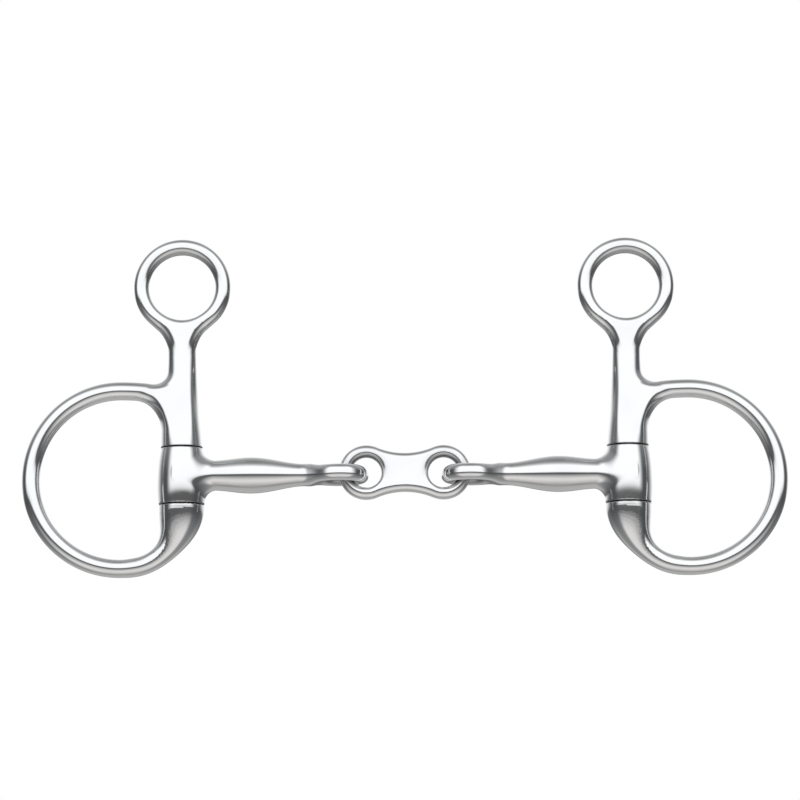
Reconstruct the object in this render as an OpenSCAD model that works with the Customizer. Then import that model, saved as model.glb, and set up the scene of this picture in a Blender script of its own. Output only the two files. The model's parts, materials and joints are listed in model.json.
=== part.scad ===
// Hanging-cheek snaffle bit with a flat two-hole centre link, in millimetres.
// +Z is up along the cheeks as the bit hangs on a bridle, +X runs along the mouthpiece,
// and the origin is the middle of the mouthpiece, on the arms' axis.
// The left side is the right side mirrored.

/* [Mouthpiece] */
// Distance between the two spindle axes
spindle_span = 148; // [146:1:160]
// Distance from the link's centre to the thickest part of an arm
arm_bulge_x = 51; // [49:0.5:53]
// Radius of an arm at its thickest part
arm_bulge_r = 6.05; // [5.6:0.05:6.4]
// Radius of an arm beside its barrel
arm_root_r = 5; // [4.7:0.1:5.3]
// Radius of an arm behind its eye
arm_neck_r = 3.65; // [3.4:0.05:3.8]

/* [Barrel and spindle] */
// Height of the barrel between its two end faces
barrel_h = 18.7; // [17:0.1:20]
// Height of the barrel's middle above the mouthpiece axis
barrel_z = -0.4; // [-1:0.1:0]
// Radius of the barrel's top end and of the shank that meets it
seat_top_r = 7; // [6.6:0.1:7.2]
// Radius of the barrel's bottom end and of the tail that meets it
seat_bottom_r = 7.6; // [7.2:0.1:7.8]
// How far the barrel's side swells past a straight taper
barrel_swell = 0.8; // [0.4:0.1:1]
// Gap between each end of the barrel and the cheek
seat_gap = 0.3; // [0.2:0.05:0.5]
// Radius of the spindle pin
pin_r = 2.5; // [2:0.1:3]
// Running clearance between the pin and the barrel's bore
pin_clearance = 0.06; // [0.03:0.01:0.09]

/* [Rein ring] */
// Radius of the rein ring's centreline
rein_ring_r = 29.65; // [28:0.05:31]
// Radius of the rein ring's bar
rein_bar_r = 3.05; // [2.7:0.05:3.2]
// Distance from the spindle out to the rein ring's centre
rein_ring_x = 20.35; // [19:0.05:21.5]
// Height of the rein ring's centre
rein_ring_z = -1.25; // [-2:0.05:-0.5]

/* [Cheekpiece ring] */
// Radius of the hole that takes the bridle's cheekpiece
top_hole_r = 11; // [10:0.1:11.5]
// Outer radius of the ring
top_ring_r = 16.2; // [15.8:0.1:16.6]
// Depth of the ring, front to back
top_ring_d = 5.2; // [5:0.1:6]
// Height of the ring's centre
top_ring_z = 63.4; // [62:0.1:66]
// Half width of the shank just below the ring
shank_neck = 4.7; // [4.4:0.1:5]

/* [Centre link] */
// Distance from the link's centre to each hole's centre
link_hole_x = 12.8; // [12.6:0.1:13.2]
// Radius of each hole
link_hole_r = 5; // [4.95:0.05:5.1]
// Outer radius of the link's round ends
link_end_r = 9.1; // [8.9:0.05:9.3]
// Half height of the link's waist
link_waist = 6.5; // [6.2:0.1:7]
// How far the link sits above the arms' axis, within its slack on the eyes
link_rise = 0.7; // [0:0.1:0.8]

/* [Arm eyes] */
// Radius of the centreline of each eye
eye_ring_r = 7.3; // [7.1:0.05:7.5]
// Half the width of the bar that each eye is made of, seen from above
eye_bar_r = 2.35; // [2.2:0.05:2.4]
// Half the height of that bar
eye_bar_h = 2.75; // [2.4:0.05:3]
// Slack between an eye and the link when the bit is pulled straight
eye_gap = 1.15; // [0.9:0.05:1.3]

/* [Hidden] */
$fn = 72;
steel = [0.78, 0.79, 0.8];
pin_steel = [0.66, 0.67, 0.69];
sides = 28;                                  // points around a lofted section

spindle_x = spindle_span / 2;
barrel_top = barrel_z + barrel_h / 2;
barrel_bottom = barrel_z - barrel_h / 2;
seat_top = barrel_top + seat_gap;
seat_bottom = barrel_bottom - seat_gap;
socket_top = seat_top + 11;
socket_bottom = seat_bottom - 8;
socket_room = 0.3;                           // space past each end of the pin

link_bar_r = (link_end_r - link_hole_r) / 2;
link_ring_r = (link_end_r + link_hole_r) / 2;
fold_x = link_hole_x + link_ring_r;          // the arm folds about the link's end bar
eye_x = fold_x + eye_ring_r - eye_bar_r - link_bar_r - eye_gap;

arm_neck_x = 32;                             // the arm starts to swell here
arm_root_run = 13;                           // length of the taper from the bulge to the barrel
arm_nose_x = eye_x + eye_ring_r - 1.7;       // the arm's round end, inside the eye's bar
arm_nose_r = 2.65;
arm_nose_run = 4.4;

top_bar_r = (top_ring_r - top_hole_r) / 2;
shank_top = top_ring_z - top_ring_r + 3.2;   // the shank ends inside the ring's bar
flare_start = top_ring_z - 18.9;
flare_end = top_ring_z - 13;
flare_w = 5.5;                               // how far each side of the neck spreads
shank_top_d = 2.55;                          // half depth of the shank at the neck

root_bend_r = 80;                            // the rein ring flattens to this radius near the shank
tail_start = -90;                            // angle on the rein ring where it starts to thicken
tail_leave = -100;                           // angle where the tail leaves the ring's circle
tail_leave_r = 3.2;

function mix(a, b, u) = a + (b - a) * u;
function clamp01(u) = min(max(u, 0), 1);
function ease(u) = (1 - cos(180 * clamp01(u))) / 2;
function spread(c, p) = sign(c) * pow(abs(c), 2 / p);

// A closed loop of points: centre c, half size a along u and b along v, and p 2 for an ellipse.
function loop(c, u, v, a, b, p = 2) = [
    for (i = [0:sides - 1])
        let (t = 360 * i / sides)
        c + a * spread(cos(t), p) * u + b * spread(sin(t), p) * v
];

// A closed solid through a list of loops.
module skin(loops) {
    n = len(loops[0]);
    last = (len(loops) - 1) * n;
    walls = [
        for (i = [0:len(loops) - 2], j = [0:n - 1])
            let (a = i * n + j, b = i * n + (j + 1) % n)
            each [[a, b + n, b], [a, a + n, b + n]]
    ];
    ends = [
        [for (j = [0:n - 1]) j],
        [for (j = [n - 1:-1:0]) last + j]
    ];
    polyhedron(points = [for (l = loops) each l], faces = concat(walls, ends));
}

// ---- centre link ----

// The waist is a concave arc that touches both round ends.
waist_arc_r = (pow(link_hole_x, 2) + pow(link_waist, 2) - pow(link_end_r, 2)) / (2 * (link_end_r - link_waist));
waist_reach = link_hole_x * waist_arc_r / (link_end_r + waist_arc_r);

// The web's outline, set in from the link's outer edge.
module web_outline(inset) {
    difference() {
        square([2 * waist_reach, 2 * link_end_r], center = true);
        for (side = [-1, 1]) {
            translate([0, side * (link_waist + waist_arc_r)])
                circle(waist_arc_r + inset);
            translate([side * link_hole_x, 0])
                circle(link_ring_r - 0.4);
        }
    }
}

// Layers that get thinner towards the outer edge, as the end rings' round bar does.
module link_web() {
    for (slope = [20:18:74])
        rotate([90, 0, 0])
            linear_extrude(2 * link_bar_r * sin(slope), center = true)
                web_outline(link_bar_r * (1 - cos(slope)) + 0.03);
}

module link_ends() {
    for (side = [-1, 1])
        translate([side * link_hole_x, 0, 0])
            rotate([90, 0, 0])
                rotate_extrude()
                    translate([link_ring_r, 0])
                        circle(link_bar_r);
}

module centre_link() {
    color(steel)
        translate([0, 0, link_rise]) {
            link_ends();
            link_web();
        }
}

// ---- mouthpiece arm, right side ----

function arm_r(x) =
    x < arm_nose_x + arm_nose_run
        ? mix(arm_nose_r, arm_neck_r, ease((x - arm_nose_x) / arm_nose_run))
        : x < arm_bulge_x
            ? mix(arm_neck_r, arm_bulge_r, ease((x - arm_neck_x) / (arm_bulge_x - arm_neck_x)))
            : mix(arm_bulge_r, arm_root_r, ease((x - arm_bulge_x) / arm_root_run));

module arm_shaft() {
    steps = 26;
    run = spindle_x - 4 - arm_nose_x;
    profile = [
        for (i = [0:steps])
            let (x = arm_nose_x + run * i / steps)
            [arm_r(x), x]
    ];
    rotate([0, 90, 0])
        rotate_extrude()
            polygon(concat([[0, arm_nose_x]], profile, [[0, spindle_x - 4]]));
}

function barrel_r(z) =
    let (u = (z - barrel_z) / (barrel_h / 2))
    mix(seat_bottom_r, seat_top_r, (u + 1) / 2) + barrel_swell * (1 - u * u);

module barrel() {
    steps = 12;
    profile = [
        for (i = [0:steps])
            let (z = mix(barrel_bottom, barrel_top, i / steps))
            [barrel_r(z), z]
    ];
    rotate_extrude()
        polygon(concat([[0, barrel_bottom]], profile, [[0, barrel_top]]));
}

// The fillet between the arm and its barrel, which spreads up and down the barrel.
module barrel_fillet() {
    fillet_r = 3.6;
    start = spindle_x - seat_top_r - fillet_r;
    steps = 7;
    skin([
        for (i = [0:steps])
            let (
                u = i / steps,
                rise = fillet_r * (1 - sqrt(1 - u * u))
            )
            loop([start + fillet_r * u, 0, 0.3 * barrel_z * u], [0, 0, 1], [0, -1, 0],
                 arm_root_r + 0.04 + rise, arm_root_r + 0.04)
    ]);
}

module eye() {
    section = [
        for (t = [0:18:342])
            [eye_ring_r + eye_bar_r * cos(t), eye_bar_h * sin(t)]
    ];
    rotate_extrude()
        polygon(section);
}

module mouth_arm() {
    color(steel)
        difference() {
            union() {
                arm_shaft();
                translate([eye_x, 0, 0]) eye();
                translate([spindle_x, 0, 0]) barrel();
                barrel_fillet();
            }
            translate([spindle_x, 0, 0])
                cylinder(r = pin_r + pin_clearance, h = 3 * barrel_h, center = true);
        }
}

// ---- cheek, right side, drawn about its spindle axis ----

function shank_u(z) = clamp01((z - seat_top) / (flare_start - seat_top));
function neck_flare(z) = flare_w * pow(max(z - flare_start, 0) / (flare_end - flare_start), 1.5);
function shank_inner(z) = mix(shank_neck, seat_top_r, pow(1 - shank_u(z), 1.6)) + neck_flare(z);
function shank_outer(z) = mix(seat_top_r, shank_neck, ease((z - 14) / 26)) + neck_flare(z);
function shank_depth(z) = mix(shank_top_d, seat_top_r, pow(1 - shank_u(z), 1.8));
function shank_squareness(z) = mix(2, 2.9, ease(shank_u(z) / 0.6));

module shank() {
    steps = 22;
    skin([
        for (i = [0:steps])
            let (
                z = mix(seat_top, shank_top, i / steps),
                middle = (shank_outer(z) - shank_inner(z)) / 2,
                half = (shank_outer(z) + shank_inner(z)) / 2
            )
            loop([middle, 0, z], [1, 0, 0], [0, 1, 0], half, shank_depth(z), shank_squareness(z))
    ]);
}

module top_ring() {
    corner = 2.2;
    steps = 5;
    half_w = top_bar_r - corner;
    half_d = top_ring_d / 2 - corner;
    section = [
        for (quarter = [0:3], i = [0:steps])
            let (
                t = 90 * quarter + 90 * i / steps,
                sx = (quarter == 0 || quarter == 3) ? 1 : -1,
                sy = quarter < 2 ? 1 : -1
            )
            [sx * half_w + corner * cos(t), sy * half_d + corner * sin(t)]
    ];
    translate([0, 0, top_ring_z])
        rotate([90, 0, 0])
            rotate_extrude()
                translate([top_ring_r - top_bar_r, 0])
                    polygon(section);
}

module rein_ring() {
    translate([rein_ring_x, 0, rein_ring_z])
        rotate([90, 0, 0])
            rotate([0, 0, tail_start - 4])
                rotate_extrude(angle = 90 - tail_start + 4)
                    translate([rein_ring_r, 0])
                        circle(rein_bar_r);
}

// The bar's last stretch flattens, then spreads into the shank: a small fillet above, a large one below.
module ring_root() {
    upper_r = 5;
    lower_r = 9.5;
    face = 4.9;                              // the shank's outer side
    steps = 16;
    top = rein_ring_z + rein_ring_r;
    skin([
        for (i = [0:steps])
            let (
                x = mix(rein_ring_x + 1.5, face + 0.2, i / steps),
                sag = pow(rein_ring_x - x, 2) / (2 * (x > rein_ring_x ? rein_ring_r : root_bend_r)),
                up = face + upper_r > x ? upper_r - sqrt(pow(upper_r, 2) - pow(face + upper_r - x, 2)) : 0,
                down = face + lower_r > x ? lower_r - sqrt(pow(lower_r, 2) - pow(face + lower_r - x, 2)) : 0,
                reach = rein_bar_r + 0.05
            )
            loop([x, 0, top - sag + (up - down) / 2], [0, 0, 1], [0, 1, 0],
                 reach + (up + down) / 2, reach + 0.1 * i / steps)
    ]);
}

// The tail thickens from the rein ring's bar and turns up under the barrel.
ring_centre = [rein_ring_x, 0, rein_ring_z];
function on_ring(t) = ring_centre + rein_ring_r * [cos(t), 0, sin(t)];
tail_points = [
    on_ring(tail_leave),
    on_ring(tail_leave) + 9.5 * [sin(tail_leave), 0, -cos(tail_leave)],
    [0, 0, seat_bottom - 10],
    [0, 0, seat_bottom]
];
function bend(q, t) =
    pow(1 - t, 3) * q[0] + 3 * pow(1 - t, 2) * t * q[1] + 3 * (1 - t) * t * t * q[2] + pow(t, 3) * q[3];
function bend_way(q, t) =
    pow(1 - t, 2) * (q[1] - q[0]) + 2 * (1 - t) * t * (q[2] - q[1]) + t * t * (q[3] - q[2]);

function tail_loop(c, way, r) =
    let (w = way / norm(way))
    loop(c, [w[2], 0, -w[0]], [0, 1, 0], r, r);

module tail() {
    on_steps = 3;
    steps = 17;
    first = rein_bar_r + 0.05;
    skin(concat(
        [
            for (i = [0:on_steps - 1])
                let (t = mix(tail_start, tail_leave, i / on_steps))
                tail_loop(on_ring(t), [sin(t), 0, -cos(t)], mix(first, tail_leave_r, ease(i / on_steps)))
        ],
        [
            for (i = [0:steps])
                let (t = i / steps)
                tail_loop(bend(tail_points, t), bend_way(tail_points, t),
                          mix(tail_leave_r, seat_bottom_r, ease(pow(t, 1.7))))
        ]
    ));
}

module cheek() {
    color(steel)
        difference() {
            union() {
                top_ring();
                shank();
                rein_ring();
                ring_root();
                tail();
            }
            translate([0, 0, socket_bottom - socket_room])
                cylinder(r = pin_r, h = socket_top - socket_bottom + 2 * socket_room);
        }
}

// ---- spindle pin, drawn about its own axis ----

module spindle_pin() {
    chamfer = 0.4;
    color(pin_steel)
        rotate_extrude()
            polygon([
                [0, socket_bottom],
                [pin_r - chamfer, socket_bottom],
                [pin_r, socket_bottom + chamfer],
                [pin_r, socket_top - chamfer],
                [pin_r - chamfer, socket_top],
                [0, socket_top]
            ]);
}

module on_left() { mirror([1, 0, 0]) children(); }
module at_spindle() { translate([spindle_x, 0, 0]) children(); }

centre_link();
on_left() mouth_arm();  // left_mouth_arm
mouth_arm();  // right_mouth_arm
on_left() at_spindle() cheek();  // left_cheek
at_spindle() cheek();  // right_cheek
on_left() at_spindle() spindle_pin();  // left_spindle_pin
at_spindle() spindle_pin();  // right_spindle_pin
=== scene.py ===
import json
import math

import bpy
import numpy as np
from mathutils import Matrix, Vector


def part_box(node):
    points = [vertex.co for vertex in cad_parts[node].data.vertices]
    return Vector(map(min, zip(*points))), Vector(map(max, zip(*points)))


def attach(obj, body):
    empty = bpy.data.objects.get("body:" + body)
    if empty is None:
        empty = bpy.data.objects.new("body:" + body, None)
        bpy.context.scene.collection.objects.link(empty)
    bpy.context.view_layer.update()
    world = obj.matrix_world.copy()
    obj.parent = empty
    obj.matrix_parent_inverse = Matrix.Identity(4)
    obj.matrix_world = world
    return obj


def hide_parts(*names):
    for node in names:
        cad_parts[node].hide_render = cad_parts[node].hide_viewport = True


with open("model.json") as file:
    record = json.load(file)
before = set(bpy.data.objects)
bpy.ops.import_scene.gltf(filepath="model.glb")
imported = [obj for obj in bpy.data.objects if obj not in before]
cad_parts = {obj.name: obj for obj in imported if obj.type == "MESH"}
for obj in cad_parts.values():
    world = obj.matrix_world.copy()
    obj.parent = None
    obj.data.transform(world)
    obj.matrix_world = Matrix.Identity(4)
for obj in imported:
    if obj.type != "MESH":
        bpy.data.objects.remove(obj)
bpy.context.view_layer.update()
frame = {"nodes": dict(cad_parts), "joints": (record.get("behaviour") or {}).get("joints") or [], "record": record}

# ---------------------------------------------------------------- sizes from the frame
# Every shape below is worked out in millimetres in the frame's axes, on the right side.
MM = 0.001
joints = {j["name"]: j for j in frame["joints"]}
mounts = {m["name"]: m for m in frame["record"]["mounts"]}


def box_mm(node):
    low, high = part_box(node)
    return np.array(low) / MM, np.array(high) / MM


link_low, link_high = box_mm("centre_link")
arm_low, arm_high = box_mm("right_mouth_arm")
cheek_low, cheek_high = box_mm("right_cheek")
pin_low, pin_high = box_mm("right_spindle_pin")

SPINDLE_X = joints["right_cheek_swivel"]["pos_m"][0] / MM
FOLD_X = joints["right_arm_fold"]["pos_m"][0] / MM

LINK_RISE = (link_high[2] + link_low[2]) / 2     # the link's centre, above the arms' axis
LINK_BAR = link_high[0] - FOLD_X                 # radius of the link's bar
LINK_END = link_high[2] - LINK_RISE              # outer radius of its round ends
LINK_HOLE_X = link_high[0] - LINK_END
LINK_HOLE = LINK_END - 2 * LINK_BAR
LINK_WAIST = 6.5                                 # half height of the link's waist
LINK_SPREAD = 0.8                                # below 1, its outer rounding reaches further in
LINK_EDGE = 0.94 * LINK_BAR                      # size of that rounding
LINK_HOLE_EDGE = 1.85                            # rounding of the holes' edges

EYE_OUT = arm_high[1]                            # the eye's outer radius
EYE_X = arm_low[0] + EYE_OUT
EYE_BAR = 2.35                                   # half the width of the eye's bar, seen from above
EYE_BAR_H = 2.75                                 # half its height
EYE_RING = EYE_OUT - EYE_BAR

BARREL_TOP = arm_high[2]
BARREL_BOTTOM = arm_low[2]
SEAT_GAP = 0.3
SEAT_EDGE = 0.25                                 # rounding of the edges beside each seat
SEAT_TOP = BARREL_TOP + SEAT_GAP
SEAT_BOTTOM = BARREL_BOTTOM - SEAT_GAP
SEAT_TOP_R = 7.0
SEAT_BOTTOM_R = cheek_high[1]
BARREL_SWELL = 0.8                               # how far the barrel's side bulges from a taper
PIN_R = (pin_high[0] - pin_low[0]) / 2
PIN_ROOM = 0.3                                   # space past each end of the pin
PIN_CLEARANCE = 0.06
BORE_EDGE = 0.15                                 # rounding at the mouth of each bore and socket

RING_Z = mounts["right_rein_ring"]["pos_m"][2] / MM
RING_BAR = cheek_high[0] - mounts["right_rein_ring"]["pos_m"][0] / MM
RING_R = RING_Z - cheek_low[2] - RING_BAR        # centreline of the rein ring
RING_X = cheek_high[0] - SPINDLE_X - RING_BAR - RING_R

TOP_Z = mounts["right_top_ring"]["pos_m"][2] / MM
TOP_HOLE = mounts["right_top_ring"]["dims"]["r_mm"]
TOP_OUT = cheek_high[2] - TOP_Z
TOP_DEPTH = 2.6                                  # half depth of the top ring's bar


# ---------------------------------------------------------------- distance fields
# Each field is negative inside the steel and grows by about 1 for each millimetre outside it.
def mix(a, b, u):
    return a + (b - a) * u


def ease(u):
    return (1 - np.cos(np.pi * np.clip(u, 0, 1))) / 2


def join(a, b, r):
    """Union with a fillet of radius r."""
    return np.maximum(r, np.minimum(a, b)) - np.hypot(np.maximum(r - a, 0), np.maximum(r - b, 0))


def cut(a, b, r):
    """What a and b share, with its edge rounded to radius r."""
    return -join(-a, -b, r)


def plate(outline, depth, half_depth, edge):
    """An outline given depth, with its front and back edges rounded to radius edge."""
    return cut(outline, np.abs(depth) - half_depth, edge)


OUTER_EDGE = 0.9                                 # rounding between a bevel and the piece's side
INNER_EDGE = 1.2                                 # rounding between a bevel and the flat face


def bevelled(outline, depth, half_depth, run, drop):
    """As plate, with a flat bevel that is run wide and falls by drop."""
    face = np.abs(depth) - half_depth
    bevel = (drop * outline + run * face + run * drop) / np.hypot(run, drop)
    return cut(cut(outline, bevel, OUTER_EDGE), face, INNER_EDGE)


# Centre link: a flat plate with a full round outer edge and softer hole edges.
WAIST_R = (LINK_HOLE_X**2 + LINK_WAIST**2 - LINK_END**2) / (2 * (LINK_END - LINK_WAIST))
WAIST_Z = LINK_WAIST + WAIST_R


def link_field(x, y, z):
    x, z = np.abs(x), np.abs(z - LINK_RISE)
    beside_waist = x * WAIST_Z < LINK_HOLE_X * (WAIST_Z - z)
    from_hole = np.hypot(x - LINK_HOLE_X, z)
    outline = np.where(beside_waist, WAIST_R - np.hypot(x, WAIST_Z - z), from_hole - LINK_END)
    body = plate(LINK_SPREAD * outline, y, LINK_BAR, LINK_EDGE)
    return cut(body, LINK_HOLE - from_hole, LINK_HOLE_EDGE)


# Mouthpiece arm.
ARM_NECK_X = 32.0                                # the arm starts to swell here
ARM_NECK_R = 3.65
ARM_BULGE_X = 51.0
ARM_BULGE_R = 6.05
ARM_ROOT_RUN = 13.0                              # length of the taper from the bulge to the barrel
ARM_ROOT_R = 5.0
ARM_NOSE_X = EYE_X + EYE_RING - 1.8              # the arm's end, inside the eye's bar
ARM_NOSE_R = 3.1
SHOULDER_R = 5.0                                 # fillet where the arm spreads into its eye
BARREL_FILLET = 3.5


def arm_radius(x):
    nose = mix(ARM_NOSE_R, ARM_NECK_R, ease((x - ARM_NOSE_X) / (ARM_NECK_X - ARM_NOSE_X)))
    swell = mix(ARM_NECK_R, ARM_BULGE_R, ease((x - ARM_NECK_X) / (ARM_BULGE_X - ARM_NECK_X)))
    root = mix(ARM_BULGE_R, ARM_ROOT_R, ease((x - ARM_BULGE_X) / ARM_ROOT_RUN))
    return np.where(x < ARM_NECK_X, nose, np.where(x < ARM_BULGE_X, swell, root))


def barrel_radius(z):
    u = (2 * z - BARREL_TOP - BARREL_BOTTOM) / (BARREL_TOP - BARREL_BOTTOM)
    return mix(SEAT_BOTTOM_R, SEAT_TOP_R, (u + 1) / 2) + BARREL_SWELL * (1 - u * u)


def arm_field(x, y, z):
    radius = arm_radius(x)
    from_eye = np.hypot(x - EYE_X, y)
    rod = np.maximum(np.abs(y) - radius, np.maximum(ARM_NOSE_X - x, x - SPINDLE_X))
    outline = np.maximum(join(from_eye - EYE_OUT, rod, SHOULDER_R), EYE_RING - EYE_BAR - from_eye)
    rounding = ease((x - ARM_NOSE_X) / (ARM_NECK_X - ARM_NOSE_X))
    arm = plate(outline, z, mix(EYE_BAR_H, radius, rounding), mix(EYE_BAR, radius, rounding))
    from_spindle = np.hypot(x - SPINDLE_X, y)
    ends = np.maximum(z - BARREL_TOP, BARREL_BOTTOM - z)
    barrel = cut(from_spindle - barrel_radius(z), ends, SEAT_EDGE)
    return cut(join(arm, barrel, BARREL_FILLET), PIN_R + PIN_CLEARANCE - from_spindle, BORE_EDGE)


# Cheek, with u measured outwards from its spindle.
NECK_Z = TOP_Z - 18.9                            # the shank stops narrowing here
NECK_W = 4.7                                     # half width and half depth of the neck
NECK_D = 2.55
NECK_BEVEL = 2.4                                 # width of the bevel beside the neck's flat face
NECK_BEVEL_RIM = 0.45                            # depth left at the bevel's outer edge
INNER_CURVE = 1.6                                # how the shank's inner side curves to the neck
DEPTH_CURVE = 1.8                                # how its depth does
OUTER_FROM, OUTER_RUN = 14, 26                   # its outer side narrows over this height
BEVEL_RUN = 20                                   # the bevels fade in over this height
RING_BLEND = 11                                  # height over which the neck turns into the ring
TOP_EDGE = 2.3                                   # rounding of the top ring's edges
NECK_FILLET = 3.0
GUSSET_SLOPE = math.radians(47)                  # slope of the web between the ring and the neck
BEND_R = 80.0                                    # the rein ring flattens to this near the shank
BAR_STARTS = 2                                   # the bar runs this deep into the shank
BAR_BLEND = 9                                    # width over which the shank turns into the bar
FILLET_ABOVE, FILLET_BELOW = 5.0, 9.5            # between the rein ring's bar and the shank
TAIL_FROM = math.radians(-90)                    # angles on the rein ring
TAIL_LEAVES = math.radians(-100)
TAIL_LEAVES_R = 3.2
TAIL_REACH = 9.5                                 # how far the tail keeps to the ring's direction
TAIL_RISE = 10                                   # how far it comes straight up to its seat
TAIL_CURVE = 1.7                                 # how it thickens


def upper_field(u, y, z):
    """The shank, the top ring above it, and the rein ring's bar where it joins the shank."""
    rise = np.clip((z - SEAT_TOP) / (NECK_Z - SEAT_TOP), 0, 1)
    eye_wear_and_shade = mix(NECK_W, SEAT_TOP_R, (1 - rise) ** INNER_CURVE)
    outer = mix(SEAT_TOP_R, NECK_W, ease((z - OUTER_FROM) / OUTER_RUN))
    shank = np.abs(u - (outer - eye_wear_and_shade) / 2) - (outer + eye_wear_and_shade) / 2
    shank = np.maximum(shank, z - TOP_Z)
    bend_z = RING_Z + RING_R - BEND_R
    bar = np.abs(np.hypot(u - RING_X, z - bend_z) - BEND_R) - RING_BAR
    bar = np.maximum(bar, BAR_STARTS - u)
    under_bar = 1 - ease((z - RING_Z - RING_R + 2) / 4)
    fillet = mix(FILLET_ABOVE, FILLET_BELOW, under_bar)
    outline = np.where(u > 0, join(shank, bar, fillet), shank)
    from_top = np.hypot(u, z - TOP_Z)
    flank = np.abs(u) * math.cos(GUSSET_SLOPE) + (TOP_Z - z) * math.sin(GUSSET_SLOPE)
    past_ring = (TOP_Z - z) * math.cos(GUSSET_SLOPE) > np.abs(u) * math.sin(GUSSET_SLOPE)
    ring = np.where(past_ring, flank, from_top) - TOP_OUT
    outline = np.maximum(join(outline, ring, NECK_FILLET), TOP_HOLE - from_top)
    half_depth = mix(NECK_D, SEAT_TOP_R, (1 - rise) ** DEPTH_CURVE)
    in_ring = ease((z - NECK_Z + 1) / RING_BLEND)
    in_bar = ease((u - outer + 1.5) / BAR_BLEND) * (1 - in_ring)
    half_depth = mix(mix(half_depth, TOP_DEPTH, in_ring), RING_BAR, in_bar)
    soft = plate(outline, y, half_depth, mix(half_depth, TOP_EDGE, in_ring))
    firm = bevelled(outline, y, half_depth, NECK_BEVEL, half_depth - NECK_BEVEL_RIM)
    body = mix(soft, firm, ease((z - SEAT_TOP) / BEVEL_RUN) * (1 - in_ring) * (1 - in_bar))
    return cut(body, SEAT_TOP - z, SEAT_EDGE)


def on_ring(angle):
    return np.array([RING_X + RING_R * math.cos(angle), RING_Z + RING_R * math.sin(angle)])


def tail_line(count):
    """Points and radii along the tail, from the rein ring's lowest point up to the barrel."""
    arc = np.linspace(TAIL_FROM, TAIL_LEAVES, count // 6, endpoint=False)
    arc_points = np.array([on_ring(a) for a in arc])
    arc_radii = mix(RING_BAR, TAIL_LEAVES_R, ease(np.linspace(0, 1, len(arc), endpoint=False)))
    start = on_ring(TAIL_LEAVES)
    heading = np.array([math.sin(TAIL_LEAVES), -math.cos(TAIL_LEAVES)])
    seat = np.array([0, SEAT_BOTTOM])
    hooks = [start, start + TAIL_REACH * heading, seat - np.array([0, TAIL_RISE]), seat]
    t = np.linspace(0, 1, count - len(arc))[:, None]
    weights = [(1 - t) ** 3, 3 * (1 - t) ** 2 * t, 3 * (1 - t) * t**2, t**3]
    bend = sum(w * h for w, h in zip(weights, hooks))
    bend_radii = mix(TAIL_LEAVES_R, SEAT_BOTTOM_R, ease(t[:, 0] ** TAIL_CURVE))
    return np.vstack([arc_points, bend]), np.concatenate([arc_radii, bend_radii])


TAIL_POINTS, TAIL_RADII = tail_line(90)


def tail_field(u, y, z):
    """Distance from the tail, found on the closest stretch of its centreline."""
    best = np.full(u.shape, np.inf)
    for a, b, ra, rb in zip(TAIL_POINTS, TAIL_POINTS[1:], TAIL_RADII, TAIL_RADII[1:]):
        run = b - a
        t = np.clip(((u - a[0]) * run[0] + (z - a[1]) * run[1]) / (run @ run), 0, 1)
        across = np.hypot(u - a[0] - t * run[0], z - a[1] - t * run[1])
        best = np.minimum(best, np.hypot(across, y) - mix(ra, rb, t))
    return cut(best, z - SEAT_BOTTOM, SEAT_EDGE)


def cheek_field(x, y, z):
    u = x - SPINDLE_X
    body = np.hypot(np.hypot(u - RING_X, z - RING_Z) - RING_R, y) - RING_BAR
    near_spindle, above = u < RING_X, z >= RING_Z
    for part, field in ((near_spindle & above, upper_field), (near_spindle & ~above, tail_field)):
        body[part] = field(u[part], y[part], z[part])
    past_pin = np.maximum(z - pin_high[2], pin_low[2] - z)
    socket = np.maximum(np.hypot(u, y) - PIN_R, past_pin - PIN_ROOM)
    return cut(body, -socket, BORE_EDGE)


# ---------------------------------------------------------------- fields to meshes
def sample_field(field, low, high, step):
    """The field on a grid, worked out only in the blocks that the surface may cross."""
    block = 5
    cells = np.ceil((high - low) / (step * block)).astype(int) * block
    starts = [block * np.arange(n // block) for n in cells]
    middles = [low[a] + step * (starts[a] + (block - 1) / 2) for a in range(3)]
    spots = [m.ravel() for m in np.meshgrid(*middles, indexing="ij")]
    coarse = field(*spots).reshape(cells // block)
    close = np.abs(coarse) < 1.4 * block * step
    values = coarse
    for a in range(3):
        values = values.repeat(block, axis=a)
        close = close.repeat(block, axis=a)
    points = low + step * np.argwhere(close)
    values[close] = field(*points.T)
    return values


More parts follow.
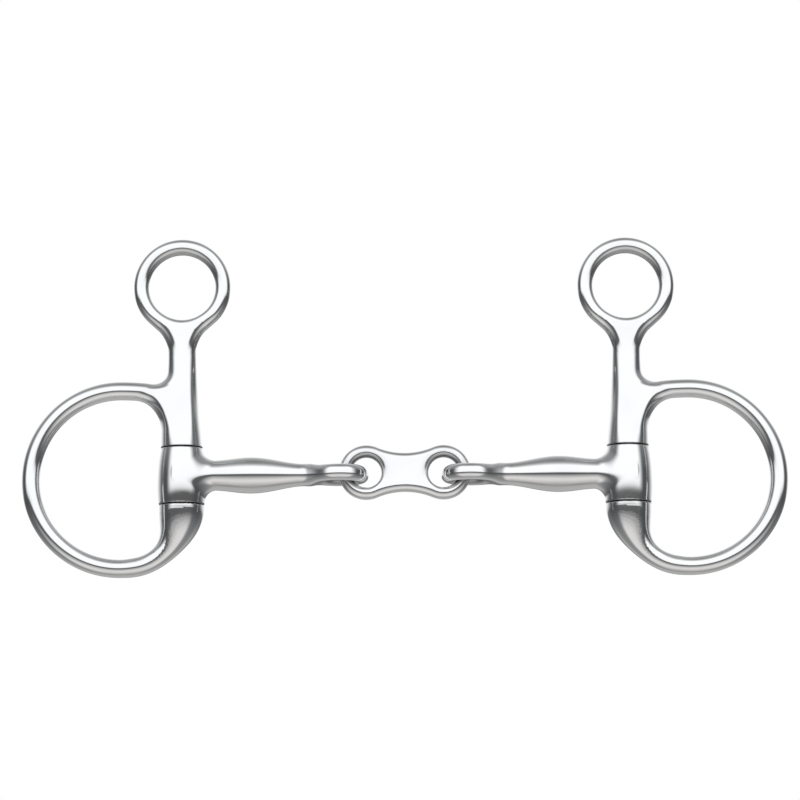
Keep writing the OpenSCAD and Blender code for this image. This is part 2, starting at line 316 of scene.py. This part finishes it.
def net_surface(values, low, step):
    """Quads through the grid cells that the surface crosses."""
    inside = values < 0
    corners = [(i, j, k) for i in (0, 1) for j in (0, 1) for k in (0, 1)]
    size = np.array(values.shape) - 1

    def corner_view(array, c):
        return array[c[0] : c[0] + size[0], c[1] : c[1] + size[1], c[2] : c[2] + size[2]]

    count = sum(corner_view(inside, c).astype(np.int8) for c in corners)
    crossed = (count > 0) & (count < 8)
    cells = np.argwhere(crossed)
    index = np.full(size, -1)
    index[crossed] = np.arange(len(cells))
    total = np.zeros((len(cells), 3))
    hits = np.zeros(len(cells))
    for c in corners:
        for a in range(3):
            if c[a]:
                continue
            other = tuple(c[i] + (i == a) for i in range(3))
            here = corner_view(values, c)[crossed]
            there = corner_view(values, other)[crossed]
            change = (here < 0) != (there < 0)
            share = np.where(change, here / np.where(change, here - there, 1), 0)
            spot = np.array(c) + share[:, None] * np.eye(3)[a]
            total += spot * change[:, None]
            hits += change
    points = low + step * (cells + total / hits[:, None])
    quads = []
    for a in range(3):
        b, c = np.eye(3, dtype=int)[(a + 1) % 3], np.eye(3, dtype=int)[(a + 2) % 3]
        first = np.take(inside, range(values.shape[a] - 1), axis=a)
        second = np.take(inside, range(1, values.shape[a]), axis=a)
        for leaving in (True, False):
            edges = np.argwhere((first == leaving) & (second != leaving))
            ring = [edges, edges - b, edges - b - c, edges - c]
            quad = np.stack([index[tuple(r.T)] for r in ring], axis=1)
            quads.append(quad if leaving else quad[:, ::-1])
    return points, np.vstack(quads)


def slope(field, points):
    """The field's gradient at each point."""
    h = 0.01
    columns = []
    for a in range(3):
        shift = h * np.eye(3)[a]
        ahead, behind = points + shift, points - shift
        columns.append((field(*ahead.T) - field(*behind.T)) / (2 * h))
    return np.stack(columns, axis=1)


def settle(field, points, reach):
    """Moves the points onto the field's surface."""
    for _ in range(3):
        gradient = slope(field, points)
        steep = np.maximum((gradient**2).sum(1), 0.05)
        move = -gradient * (field(*points.T) / steep)[:, None]
        length = np.linalg.norm(move, axis=1)
        points = points + move * np.minimum(1, reach / np.maximum(length, 1e-9))[:, None]
    return points


def relax(points, quads):
    """Moves each point halfway to the middle of its neighbours."""
    ends = np.vstack([quads[:, [i, (i + 1) % 4]] for i in range(4)])
    ends = np.vstack([ends, ends[:, ::-1]])
    number = np.bincount(ends[:, 0], minlength=len(points))
    totals = [np.bincount(ends[:, 0], points[ends[:, 1], a], len(points)) for a in range(3)]
    return (points + np.stack(totals, axis=1) / number[:, None]) / 2


def shape(field, low, high, step):
    """Points, outward normals and quads of the surface where the field is 0."""
    low = low - 3 * step
    points, quads = net_surface(sample_field(field, low, high + 3 * step, step), low, step)
    points = settle(field, points, step)
    for _ in range(3):
        points = settle(field, relax(points, quads), step)
    normals = slope(field, points)
    normals /= np.linalg.norm(normals, axis=1)[:, None]
    return points, normals, quads


def mirrored(points, normals, quads):
    flip = np.array([-1, 1, 1])
    return points * flip, normals * flip, quads[:, ::-1]


def add_piece(name, surface, body, node, wear_and_shade):
    """A finished steel mesh that rides on a body and stands for its CAD node."""
    points, normals, quads = surface
    mesh = bpy.data.meshes.new(name)
    mesh.from_pydata((points * MM).tolist(), [], quads.tolist())
    mesh.validate()
    mesh.polygons.foreach_set("use_smooth", [True] * len(mesh.polygons))
    mesh.normals_split_custom_set_from_vertices(normals.tolist())
    # per-point darkening: wear where parts rub, and painted shade in hollows
    wear = mesh.attributes.new("wear_and_shade", "FLOAT", "POINT")
    wear.data.foreach_set("value", wear_and_shade(points).astype(np.float32))
    mesh.materials.append(steel)
    piece = bpy.data.objects.new(name, mesh)
    bpy.context.scene.collection.objects.link(piece)
    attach(piece, body)
    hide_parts(node)


# ---------------------------------------------------------------- materials
def steel_material(name, tint, rough):
    """Polished steel with soft waves, fine polishing lines, and dull dark patches that are partly wear where parts
    rub and partly painted shade in hollows.
    """
    material = bpy.data.materials.new(name)
    material.use_nodes = True
    nodes, links = material.node_tree.nodes, material.node_tree.links
    surface = nodes["Principled BSDF"]
    surface.inputs["Metallic"].default_value = 1.0
    place = nodes.new("ShaderNodeTexCoord")

    def noise(scale, detail, stretch=(1, 1, 1)):
        mapping = nodes.new("ShaderNodeMapping")
        mapping.inputs["Scale"].default_value = stretch
        links.new(place.outputs["Object"], mapping.inputs["Vector"])
        texture = nodes.new("ShaderNodeTexNoise")
        texture.inputs["Scale"].default_value = scale
        texture.inputs["Detail"].default_value = detail
        links.new(mapping.outputs["Vector"], texture.inputs["Vector"])
        return texture.outputs["Fac"]

    def ranged(value, low, high, start=0.3, end=0.7):
        node = nodes.new("ShaderNodeMapRange")
        node.inputs["From Min"].default_value = start
        node.inputs["From Max"].default_value = end
        node.inputs["To Min"].default_value = low
        node.inputs["To Max"].default_value = high
        links.new(value, node.inputs["Value"])
        return node.outputs["Result"]

    def combine(operation, a, b):
        node = nodes.new("ShaderNodeMath")
        node.operation = operation
        for value, socket in ((a, node.inputs[0]), (b, node.inputs[1])):
            if isinstance(value, float):
                socket.default_value = value
            else:
                links.new(value, socket)
        return node.outputs[0]

    def bump(height, distance, under=None):
        node = nodes.new("ShaderNodeBump")
        node.inputs["Strength"].default_value = 1.0
        node.inputs["Distance"].default_value = distance * MM
        links.new(height, node.inputs["Height"])
        if under is not None:
            links.new(under, node.inputs["Normal"])
        return node.outputs["Normal"]

    wear_shade_attribute = nodes.new("ShaderNodeAttribute")
    wear_shade_attribute.attribute_name = "wear_and_shade"
    patches = noise(90, 3)
    grain = noise(2600, 4)
    lines = noise(900, 3, stretch=(1, 1, 0.12))

    patchy_tone = nodes.new("ShaderNodeMix")
    patchy_tone.data_type = "RGBA"
    links.new(ranged(patches, 0.0, 1.0), patchy_tone.inputs["Factor"])
    patchy_tone.inputs["A"].default_value = (tint[0] * 0.94, tint[1] * 0.94, tint[2] * 0.95, 1)
    patchy_tone.inputs["B"].default_value = (*tint, 1)
    # darkens the colour towards a third of the tint by the per-point attribute: painted shade in hollows, plus
    # real wear where parts rub
    wear_shade_darkening = nodes.new("ShaderNodeMix")
    wear_shade_darkening.data_type = "RGBA"
    links.new(combine("MULTIPLY", wear_shade_attribute.outputs["Fac"], 0.85), wear_shade_darkening.inputs["Factor"])
    links.new(patchy_tone.outputs["Result"], wear_shade_darkening.inputs["A"])
    wear_shade_darkening.inputs["B"].default_value = (tint[0] * 0.32, tint[1] * 0.32, tint[2] * 0.32, 1)
    links.new(wear_shade_darkening.outputs["Result"], surface.inputs["Base Color"])

    polish = combine("ADD", ranged(patches, rough - 0.03, rough + 0.03), ranged(grain, -0.02, 0.02))
    polish = combine("ADD", polish, combine("MULTIPLY", wear_shade_attribute.outputs["Fac"], 0.22))
    links.new(polish, surface.inputs["Roughness"])

    normal = bump(noise(70, 1), 0.05)
    normal = bump(lines, 0.0012, normal)
    normal = bump(grain, 0.0004, normal)
    links.new(normal, surface.inputs["Normal"])
    return material


def floor_material():
    material = bpy.data.materials.new("pale_floor")
    material.use_nodes = True
    surface = material.node_tree.nodes["Principled BSDF"]
    surface.inputs["Base Color"].default_value = (0.9, 0.9, 0.9, 1)
    surface.inputs["Roughness"].default_value = 0.9
    return material


# ---------------------------------------------------------------- pieces
def near(distance, reach):
    return np.exp(-((distance / reach) ** 2))


def link_wear_and_shade(p):
    """Dull where the arms' eyes bear on the end bars, and painted shade under the upper side of each hole."""
    x, z = np.abs(p[:, 0]), p[:, 2] - LINK_RISE
    bars = near(np.hypot(x - FOLD_X, z), 3.2) * (x < FOLD_X)
    # painted shade on the upper inside wall of each hole
    painted_hole_shade = near(np.maximum(np.hypot(x - LINK_HOLE_X, z) - LINK_HOLE, 0), 1.5) * ease((z + 3) / 6)
    return np.maximum(bars, painted_hole_shade)


def arm_wear_and_shade(p):
    """Dull and darker inside the eye, partly wear where the link bears and partly painted shade all round the
    inner wall, and dull at the barrel's two end faces.
    """
    x = np.abs(p[:, 0])
    # painted shade all round the eye's inner wall, with real wear where the link rubs
    eye_wear_and_shade = near(np.hypot(x - EYE_X, p[:, 1]) - EYE_RING + EYE_BAR, 1.4)
    ends = near(np.minimum(BARREL_TOP - p[:, 2], p[:, 2] - BARREL_BOTTOM), 0.25)
    return np.maximum(eye_wear_and_shade, ends * (np.abs(x - SPINDLE_X) < 12))


def cheek_wear_and_shade(p):
    """Dull at the two faces that bear on the barrel, and painted shade on the upper inside of the top ring."""
    u = np.abs(p[:, 0]) - SPINDLE_X
    z = p[:, 2]
    seats = near(np.minimum(np.abs(z - SEAT_TOP), np.abs(z - SEAT_BOTTOM)), 0.25) * (np.abs(u) < 9)
    # painted shade on the upper inside wall of the top ring
    painted_ring_shade = near(np.maximum(np.hypot(u, z - TOP_Z) - TOP_HOLE, 0), 1.7) * ease((z - TOP_Z + 2) / 8)
    return np.maximum(seats, 0.55 * painted_ring_shade)


steel = steel_material("polished_steel", (0.83, 0.835, 0.84), 0.09)
pin_steel = steel_material("ground_steel", (0.66, 0.67, 0.69), 0.3)

# The cheek's grid step keeps its flat faces off the planes of grid points.
LINK_STEP, ARM_STEP, CHEEK_STEP = 0.3, 0.33, 0.37
link = shape(link_field, link_low, link_high, LINK_STEP)
arm = shape(arm_field, arm_low, arm_high, ARM_STEP)
cheek = shape(cheek_field, cheek_low, cheek_high, CHEEK_STEP)

add_piece("centre_link_steel", link, "link", "centre_link", link_wear_and_shade)
add_piece("right_arm_steel", arm, "right_arm", "right_mouth_arm", arm_wear_and_shade)
add_piece("left_arm_steel", mirrored(*arm), "left_arm", "left_mouth_arm", arm_wear_and_shade)
add_piece("right_cheek_steel", cheek, "right_cheekpiece", "right_cheek", cheek_wear_and_shade)
add_piece("left_cheek_steel", mirrored(*cheek), "left_cheekpiece", "left_cheek", cheek_wear_and_shade)

for node in ("left_spindle_pin", "right_spindle_pin"):
    pin = frame["nodes"][node]
    pin.data.materials.clear()
    pin.data.materials.append(pin_steel)

# ---------------------------------------------------------------- floor, light and camera
FLOOR_Z = -0.26
bpy.ops.mesh.primitive_circle_add(vertices=96, radius=3, fill_type="NGON", location=(0, 0, FLOOR_Z))
floor = bpy.context.object
floor.name = "floor"
floor.data.materials.append(floor_material())
floor.visible_glossy = False

world = bpy.data.worlds.new("studio")
bpy.context.scene.world = world
world.use_nodes = True
wn, wl = world.node_tree.nodes, world.node_tree.links
background = wn["Background"]
direction = wn.new("ShaderNodeTexCoord")
split = wn.new("ShaderNodeSeparateXYZ")
wl.new(direction.outputs["Generated"], split.inputs["Vector"])


def world_math(operation, a, b):
    node = wn.new("ShaderNodeMath")
    node.operation = operation
    for value, socket in ((a, node.inputs[0]), (b, node.inputs[1])):
        if isinstance(value, (int, float)):
            socket.default_value = value
        else:
            wl.new(value, socket)
    return node.outputs[0]


def world_ramp(value, stops):
    """A colour for each value from 0 to 1."""
    node = wn.new("ShaderNodeValToRGB")
    ramp = node.color_ramp
    while len(ramp.elements) > 1:
        ramp.elements.remove(ramp.elements[-1])
    for i, (position, color) in enumerate(stops):
        element = ramp.elements[0] if i == 0 else ramp.elements.new(position)
        element.position = position
        element.color = (*color, 1)
    wl.new(value, node.inputs["Fac"])
    return node.outputs["Color"]


def grey(level, warm=0.0):
    return (level * (1 + warm), level, level * (1 - warm))


def at(degrees):
    """Where an elevation lies on the ramp, from straight down to straight up."""
    return 0.5 + degrees / 180


elevation = world_math("DIVIDE", world_math("ARCSINE", split.outputs["Z"], 0.0), math.pi)
elevation = world_math("ADD", elevation, 0.5)
sideways = world_math("ABSOLUTE", split.outputs["X"], 0.0)
frontways = world_math("MULTIPLY", split.outputs["Y"], -1.0)
turn = world_math("DIVIDE", world_math("ARCTAN2", sideways, frontways), math.pi)
front = world_ramp(elevation, [
    (at(-90), grey(0.28, 0.02)),
    (at(-75), grey(0.38, 0.02)),
    (at(-60), grey(0.55, 0.02)),
    (at(-46), grey(0.68, 0.02)),
    (at(-36), grey(0.64, 0.02)),
    (at(-26), grey(0.48, 0.015)),
    (at(-15), grey(0.26)),
    (at(-10), grey(0.11)),
    (at(-1), grey(0.09)),
    (at(2), grey(0.75)),
    (at(6), grey(0.97, -0.01)),
    (at(48), grey(1.0, -0.01)),
    (at(59), grey(0.58)),
    (at(71), grey(0.30)),
    (at(84), grey(0.20)),
    (at(90), grey(0.22)),
])
side = world_ramp(elevation, [
    (at(-90), grey(0.28, 0.02)),
    (at(-60), grey(0.27, 0.015)),
    (at(-30), grey(0.16, -0.02)),
    (at(-5), grey(0.07, -0.03)),
    (at(12), grey(0.08, -0.03)),
    (at(35), grey(0.24, -0.02)),
    (at(60), grey(0.27, -0.02)),
    (at(90), grey(0.22)),
])
behind = world_ramp(elevation, [
    (at(-90), grey(0.28, 0.02)),
    (at(-76), grey(0.38, 0.015)),
    (at(-30), grey(0.41, 0.01)),
    (at(-12), grey(0.18)),
    (at(-2), grey(0.14)),
    (at(3), grey(0.70)),
    (at(9), grey(0.88)),
    (at(32), grey(0.85)),
    (at(46), grey(0.53)),
    (at(60), grey(0.43)),
    (at(72), grey(0.30)),
    (at(90), grey(0.22)),
])


def world_blend(value, start, end, a, b):
    """Colour a below start degrees of turn from the front, and b above end."""
    share = wn.new("ShaderNodeMapRange")
    share.interpolation_type = "SMOOTHSTEP"
    share.inputs["From Min"].default_value = start / 180
    share.inputs["From Max"].default_value = end / 180
    wl.new(value, share.inputs["Value"])
    node = wn.new("ShaderNodeMix")
    node.data_type = "RGBA"
    wl.new(share.outputs["Result"], node.inputs["Factor"])
    wl.new(a, node.inputs["A"])
    wl.new(b, node.inputs["B"])
    return node.outputs["Result"]


WORLD_STRENGTH = 1.25
surround = world_blend(turn, 44, 74, front, side)
surround = world_blend(turn, 98, 150, surround, behind)
path = wn.new("ShaderNodeLightPath")
seen = wn.new("ShaderNodeMix")
seen.data_type = "RGBA"
wl.new(path.outputs["Is Camera Ray"], seen.inputs["Factor"])
wl.new(surround, seen.inputs["A"])
seen.inputs["B"].default_value = (1 / WORLD_STRENGTH,) * 3 + (1,)
wl.new(seen.outputs["Result"], background.inputs["Color"])
background.inputs["Strength"].default_value = WORLD_STRENGTH

lamp_data = bpy.data.lights.new("soft_top", "AREA")
lamp_data.shape = "DISK"
lamp_data.size = 1.2
lamp_data.energy = 12
lamp = bpy.data.objects.new("soft_top", lamp_data)
lamp.location = (-0.4, -0.8, 1.5)
lamp.rotation_euler = (Vector((0, 0, 0)) - lamp.location).to_track_quat("-Z", "Y").to_euler()
lamp.visible_glossy = False
bpy.context.scene.collection.objects.link(lamp)

VIEW_DISTANCE = 1.3
VIEW_BELOW = math.radians(8.0)                   # the camera looks up at the mouthpiece
VIEW_WIDTH = 0.266                               # width seen at the object
VIEW_ROLL = math.radians(-0.3)
AIM = Vector((-0.0015, 0, 0.0250))
camera_data = bpy.data.cameras.new("camera")
camera_data.clip_start = 0.01
camera = bpy.data.objects.new("camera", camera_data)
camera.location = (AIM.x, -VIEW_DISTANCE, -VIEW_DISTANCE * math.tan(VIEW_BELOW))
camera_data.lens = camera_data.sensor_width * (AIM - camera.location).length / VIEW_WIDTH
camera.rotation_euler = (AIM - camera.location).to_track_quat("-Z", "Y").to_euler()
camera.rotation_euler.rotate_axis("Z", VIEW_ROLL)
bpy.context.scene.collection.objects.link(camera)
bpy.context.scene.camera = camera
bpy.context.scene.view_settings.view_transform = "Standard"
